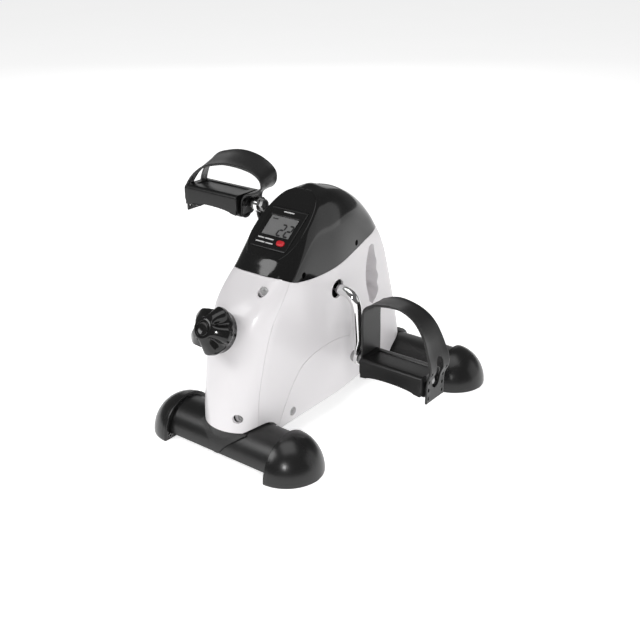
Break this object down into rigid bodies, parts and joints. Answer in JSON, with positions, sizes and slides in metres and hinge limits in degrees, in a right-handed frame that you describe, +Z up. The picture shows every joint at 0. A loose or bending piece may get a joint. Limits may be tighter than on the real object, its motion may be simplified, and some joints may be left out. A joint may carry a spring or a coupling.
{
  "type": "pedal exerciser",
  "caption": "Small floor-standing pedal exerciser: white casing with a gloss black cover and display, chrome crank, strapped pedals, tension knob and tube feet.",
  "frame": {"origin": "on the floor, midway between the two foot tubes and midway between the sides of the casing", "axes": "+X to the right-hand side, +Y away from the user, +Z up"},
  "size_m": [0.3589, 0.3993, 0.3068],
  "materials": {
    "white_shell": "satin gloss, moulded",
    "cover_black": "high gloss",
    "knob_black": "high gloss",
    "bezel_black": "satin",
    "window_clear": "clear",
    "lcd_grey": "smooth",
    "board_green": "solder mask",
    "button_red": "satin",
    "zinc": "zinc plated",
    "frame_black": "black powder coat",
    "chrome": "polished",
    "nylon_black": "plain",
    "felt": "pressed felt",
    "pedal_black": "fine texture",
    "strap_rubber": "smooth",
    "cap_black": "satin",
    "saddle_grey": "plain"
  },
  "bodies": {
    "base": {"front_panel": "white_shell", "side_shell_right": "white_shell", "side_shell_left": "white_shell", "top_cover": "cover_black", "display_housing": "bezel_black", "battery_door": "bezel_black", "display_window": "window_clear", "lcd_panel": "lcd_grey", "circuit_board": "board_green", "battery_cell": "zinc", "panel_screw_upper": "zinc", "panel_screw_lower": "zinc", "side_screw": "zinc", "cover_screw_front_right": "zinc", "cover_screw_front_left": "zinc", "cover_screw_rear_right": "zinc", "cover_screw_rear_left": "zinc", "shell_bracket": "zinc", "band_anchor": "zinc", "base_rail": "frame_black", "frame_post": "frame_black", "front_foot_tube": "frame_black", "rear_foot_tube": "frame_black", "crank_bush_right": "nylon_black", "crank_bush_left": "nylon_black", "reed_sensor": "nylon_black", "sensor_wire": "nylon_black", "brake_band": "felt", "front_foot_cap_right": "cap_black", "front_foot_cap_left": "cap_black", "rear_foot_cap_right": "cap_black", "rear_foot_cap_left": "cap_black", "front_saddle": "saddle_grey", "rear_saddle": "saddle_grey"},
    "crank_body": {"crank": "chrome", "brake_drum": "nylon_black", "speed_magnet": "zinc", "pedal_axle_right": "zinc", "pedal_axle_left": "zinc", "crank_nut_right": "zinc", "crank_nut_left": "zinc", "axle_end_nut_right": "zinc", "axle_end_nut_left": "zinc"},
    "right_pedal": {"pedal_right": "pedal_black", "strap_right": "strap_rubber", "strap_peg_right": "nylon_black"},
    "left_pedal": {"pedal_left": "pedal_black", "strap_left": "strap_rubber", "strap_peg_left": "nylon_black"},
    "knob": {"tension_knob": "knob_black", "knob_cap": "knob_black", "tension_bolt": "zinc"},
    "tension_slide": {"tension_block": "zinc", "band_link": "zinc"},
    "button": {"reset_button": "button_red"}
  },
  "joints": [
    {"name": "crank_spin", "type": "hinge", "parent": "base", "child": "crank_body", "pos_m": [0, -0.011, 0.166], "axis": [1, 0, 0], "continuous": true},
    {"name": "right_pedal_spin", "type": "hinge", "parent": "crank_body", "child": "right_pedal", "pos_m": [0.129, -0.00191, 0.07948], "axis": [1, 0, 0], "continuous": true},
    {"name": "left_pedal_spin", "type": "hinge", "parent": "crank_body", "child": "left_pedal", "pos_m": [-0.129, -0.02009, 0.25252], "axis": [1, 0, 0], "continuous": true},
    {"name": "knob_turn", "type": "hinge", "parent": "base", "child": "knob", "pos_m": [0, -0.1985, 0.1704], "axis": [0, -0.891, 0.454], "range_deg": [-1440, 1440]},
    {"name": "tension_slide", "type": "slide", "parent": "base", "child": "tension_slide", "axis": [0, -0.891, 0.454], "range_m": [-0.0051, 0.0051]},
    {"name": "button_press", "type": "slide", "parent": "base", "child": "button", "axis": [0, -0.617, 0.7869], "range_m": [-0.0012, 0], "stiffness_N_per_m": 300, "springref_m": 0.0003}
  ],
  "couplings": [
    {"joint": "tension_slide", "follows": "knob_turn", "m_per_rad": -0.00019894}
  ]
}
